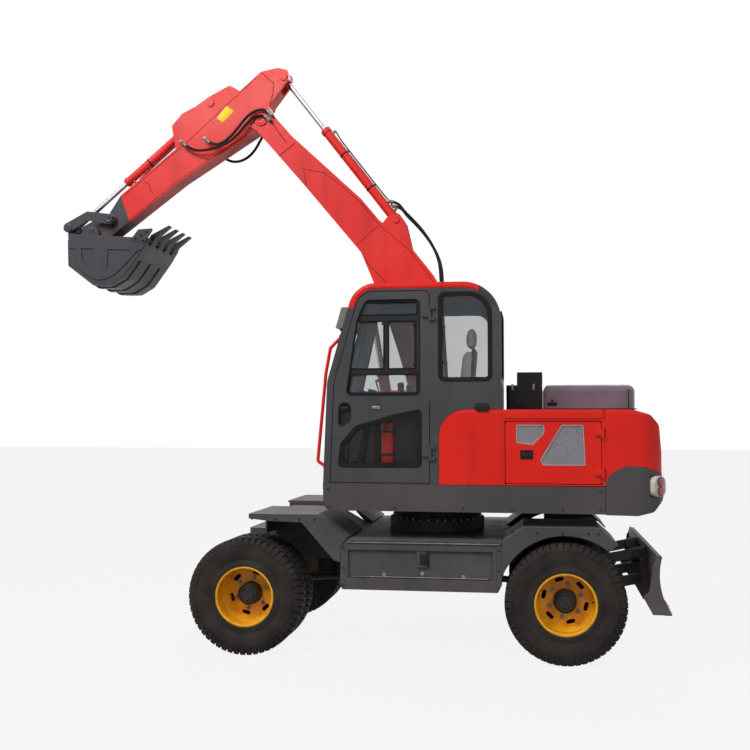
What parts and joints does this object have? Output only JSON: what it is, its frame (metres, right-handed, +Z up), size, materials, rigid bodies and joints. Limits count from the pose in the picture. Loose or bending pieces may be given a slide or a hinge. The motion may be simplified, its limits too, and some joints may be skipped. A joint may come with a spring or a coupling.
{
  "type": "wheeled excavator",
  "caption": "Compact wheeled excavator with twin tyres, slewing cab, one-piece gooseneck boom, stick, bucket and a dozer blade behind",
  "frame": {"origin": "On the ground under the slew axis", "axes": "+X to the rear (the arm points to -X), +Y to the machine's right, +Z up"},
  "size_m": [5.546, 2.3, 5.2891],
  "materials": {
    "red_paint": "gloss",
    "grey_paint": "satin",
    "dark_paint": "satin",
    "rim_paint": "satin",
    "chrome_rod": "polished",
    "cast_axle": "matt",
    "tyre_rubber": "matt",
    "hose_rubber": "matt",
    "black_plastic": "matt",
    "seat_fabric": "matt",
    "window_glass": "clear",
    "lamp_lens": "gloss",
    "worn_steel": "worn",
    "bonnet_paint": "satin"
  },
  "bodies": {
    "chassis": {"chassis_frame": "grey_paint", "slew_ring": "cast_axle", "side_boxes": "grey_paint", "fenders": "grey_paint", "drive_shafts": "cast_axle", "front_axle": "cast_axle", "rear_axle": "cast_axle"},
    "upper": {"deck_frame": "grey_paint", "cab_frame": "dark_paint", "cab_roof": "red_paint", "cab_glass": "window_glass", "seat": "seat_fabric", "cab_controls": "black_plastic", "hood": "red_paint", "engine": "cast_axle", "counterweight": "grey_paint", "rear_cowl": "red_paint", "right_box": "red_paint", "air_cleaner": "black_plastic", "grab_rails": "red_paint", "work_lamps": "black_plastic", "tail_lamps": "lamp_lens"},
    "cab_door": {"door_frame": "dark_paint", "door_glass": "window_glass"},
    "engine_cover": {"engine_door": "red_paint"},
    "bonnet_cover": {"bonnet": "bonnet_paint"},
    "boom_body": {"boom": "red_paint", "boom_hose": "hose_rubber"},
    "stick_body": {"stick": "red_paint", "arm_hoses": "hose_rubber"},
    "bucket": {"bucket_shell": "dark_paint", "bucket_teeth": "worn_steel"},
    "rocker": {"rocker_links": "dark_paint"},
    "bucket_link_body": {"bucket_link": "dark_paint"},
    "boom_cylinder": {"boom_cylinder_barrel": "red_paint"},
    "boom_rod": {"boom_cylinder_rod": "chrome_rod"},
    "stick_cylinder": {"stick_cylinder_barrel": "red_paint"},
    "stick_rod": {"stick_cylinder_rod": "chrome_rod"},
    "bucket_cylinder": {"bucket_cylinder_barrel": "red_paint"},
    "bucket_rod": {"bucket_cylinder_rod": "chrome_rod"},
    "knuckle_l": {"knuckle_left": "cast_axle"},
    "knuckle_r": {"knuckle_right": "cast_axle"},
    "tie_rod_body": {"tie_rod": "cast_axle"},
    "blade_body": {"blade": "grey_paint"},
    "blade_lower": {"blade_lower_links": "grey_paint"},
    "blade_upper": {"blade_upper_links": "grey_paint"},
    "blade_cylinder": {"blade_cylinder_barrel": "dark_paint"},
    "blade_rod": {"blade_cylinder_rod": "chrome_rod"},
    "wheel_front_left": {"tyres_front_left": "tyre_rubber", "rims_front_left": "rim_paint", "hub_front_left": "dark_paint"},
    "wheel_front_right": {"tyres_front_right": "tyre_rubber", "rims_front_right": "rim_paint", "hub_front_right": "dark_paint"},
    "wheel_rear_left": {"tyres_rear_left": "tyre_rubber", "rims_rear_left": "rim_paint", "hub_rear_left": "dark_paint"},
    "wheel_rear_right": {"tyres_rear_right": "tyre_rubber", "rims_rear_right": "rim_paint", "hub_rear_right": "dark_paint"}
  },
  "joints": [
    {"name": "slew", "type": "hinge", "parent": "chassis", "child": "upper", "pos_m": [0, 0, 1.16], "axis": [0, 0, 1], "continuous": true},
    {"name": "boom_lift", "type": "hinge", "parent": "upper", "child": "boom_body", "pos_m": [0, 0, 1.7], "axis": [0, -1, 0], "range_deg": [-2, 72]},
    {"name": "stick_swing", "type": "hinge", "parent": "boom_body", "child": "stick_body", "pos_m": [-1.65, 0, 4.79], "axis": [0, 1, 0], "range_deg": [-20, 50]},
    {"name": "bucket_curl", "type": "hinge", "parent": "stick_body", "child": "bucket", "pos_m": [-3.34, 0, 3.75], "axis": [0, 1, 0], "range_deg": [-4, 110]},
    {"name": "rocker_turn", "type": "hinge", "parent": "stick_body", "child": "rocker", "pos_m": [-3.14, 0, 3.88], "axis": [0, 1, 0], "range_deg": [-5, 61.69]},
    {"name": "bucket_link_turn", "type": "hinge", "parent": "rocker", "child": "bucket_link_body", "pos_m": [-3.56, 0, 3.81], "axis": [0, 1, 0], "range_deg": [-35.78, 5]},
    {"name": "boom_cylinder_turn", "type": "hinge", "parent": "upper", "child": "boom_cylinder", "pos_m": [-0.33, 0, 1.36], "axis": [0, -1, 0], "range_deg": [-2.92, 70.24]},
    {"name": "boom_cylinder_slide", "type": "slide", "parent": "boom_cylinder", "child": "boom_rod", "axis": [-0.1691, 0, 0.9856], "range_m": [-0.58, 0.03]},
    {"name": "stick_cylinder_turn", "type": "hinge", "parent": "boom_body", "child": "stick_cylinder", "pos_m": [-0.371, 0, 3.811], "axis": [0, 1, 0], "range_deg": [-6, 6]},
    {"name": "stick_cylinder_slide", "type": "slide", "parent": "stick_cylinder", "child": "stick_rod", "axis": [-0.6098, 0, 0.7926], "range_m": [-0.4, 0.2]},
    {"name": "bucket_cylinder_turn", "type": "hinge", "parent": "stick_body", "child": "bucket_cylinder", "pos_m": [-2.165, 0, 4.985], "axis": [0, 1, 0], "range_deg": [-2, 12]},
    {"name": "bucket_cylinder_slide", "type": "slide", "parent": "bucket_cylinder", "child": "bucket_rod", "axis": [-0.7648, 0, -0.6442], "range_m": [-0.36, 0.03]},
    {"name": "cab_door_swing", "type": "hinge", "parent": "upper", "child": "cab_door", "pos_m": [0.038, -1.067, 2.255], "axis": [0, 0, 1], "range_deg": [0, 170]},
    {"name": "engine_door_swing", "type": "hinge", "parent": "upper", "child": "engine_cover", "pos_m": [1.424, -1.066, 1.685], "axis": [0, 0, 1], "range_deg": [0, 100]},
    {"name": "bonnet_lift", "type": "hinge", "parent": "upper", "child": "bonnet_cover", "pos_m": [1.736, 0, 2.057], "axis": [0, 1, 0], "range_deg": [0, 65]},
    {"name": "steer_left", "type": "hinge", "parent": "chassis", "child": "knuckle_l", "pos_m": [-1.505, -0.59, 0.485], "axis": [0, 0, 1], "range_deg": [-28, 28]},
    {"name": "steer_right", "type": "hinge", "parent": "chassis", "child": "knuckle_r", "pos_m": [-1.505, 0.59, 0.485], "axis": [0, 0, 1], "range_deg": [-28, 28]},
    {"name": "tie_rod_turn", "type": "hinge", "parent": "knuckle_l", "child": "tie_rod_body", "pos_m": [-1.345, -0.59, 0.3], "axis": [0, 0, 1], "range_deg": [-28, 28]},
    {"name": "blade_lift", "type": "hinge", "parent": "chassis", "child": "blade_lower", "pos_m": [1.32, 0, 0.5], "axis": [0, 1, 0], "range_deg": [0, 70]},
    {"name": "blade_upper_turn", "type": "hinge", "parent": "chassis", "child": "blade_upper", "pos_m": [1.32, 0, 0.72], "axis": [0, 1, 0], "range_deg": [0, 70]},
    {"name": "blade_level", "type": "hinge", "parent": "blade_lower", "child": "blade_body", "pos_m": [1.76017, 0, 0.59356], "axis": [0, 1, 0], "range_deg": [-70, 0]},
    {"name": "blade_cylinder_turn", "type": "hinge", "parent": "chassis", "child": "blade_cylinder", "pos_m": [1.36, 0, 1.02], "axis": [0, 1, 0], "range_deg": [-1, 20.69]},
    {"name": "blade_cylinder_slide", "type": "slide", "parent": "blade_cylinder", "child": "blade_rod", "axis": [0.4845, 0, -0.8748], "range_m": [-0.01, 0.3]},
    {"name": "wheel_front_left_roll", "type": "hinge", "parent": "knuckle_l", "child": "wheel_front_left", "pos_m": [-1.505, -0.897, 0.485], "axis": [0, 1, 0], "continuous": true},
    {"name": "wheel_front_right_roll", "type": "hinge", "parent": "knuckle_r", "child": "wheel_front_right", "pos_m": [-1.505, 0.897, 0.485], "axis": [0, 1, 0], "continuous": true},
    {"name": "wheel_rear_left_roll", "type": "hinge", "parent": "chassis", "child": "wheel_rear_left", "pos_m": [1.12, -0.897, 0.485], "axis": [0, 1, 0], "continuous": true},
    {"name": "wheel_rear_right_roll", "type": "hinge", "parent": "chassis", "child": "wheel_rear_right", "pos_m": [1.12, 0.897, 0.485], "axis": [0, 1, 0], "continuous": true}
  ],
  "couplings": [
    {"joint": "rocker_turn", "follows": "bucket_curl", "ratio": 0.5517},
    {"joint": "bucket_link_turn", "follows": "bucket_curl", "ratio": -0.3162},
    {"joint": "boom_cylinder_turn", "follows": "boom_lift", "ratio": 0.9617},
    {"joint": "boom_cylinder_slide", "follows": "boom_lift", "m_per_rad": -0.4332},
    {"joint": "stick_cylinder_turn", "follows": "stick_swing", "ratio": 0.0541},
    {"joint": "stick_cylinder_slide", "follows": "stick_swing", "m_per_rad": -0.4326},
    {"joint": "bucket_cylinder_turn", "follows": "bucket_curl", "ratio": 0.085},
    {"joint": "bucket_cylinder_slide", "follows": "bucket_curl", "m_per_rad": -0.175},
    {"joint": "steer_right", "follows": "steer_left", "ratio": 1},
    {"joint": "tie_rod_turn", "follows": "steer_left", "ratio": -1},
    {"joint": "blade_upper_turn", "follows": "blade_lift", "ratio": 1},
    {"joint": "blade_level", "follows": "blade_lift", "ratio": -1},
    {"joint": "blade_cylinder_turn", "follows": "blade_lift", "ratio": 0.2813},
    {"joint": "blade_cylinder_slide", "follows": "blade_lift", "m_per_rad": 0.2301}
  ]
}
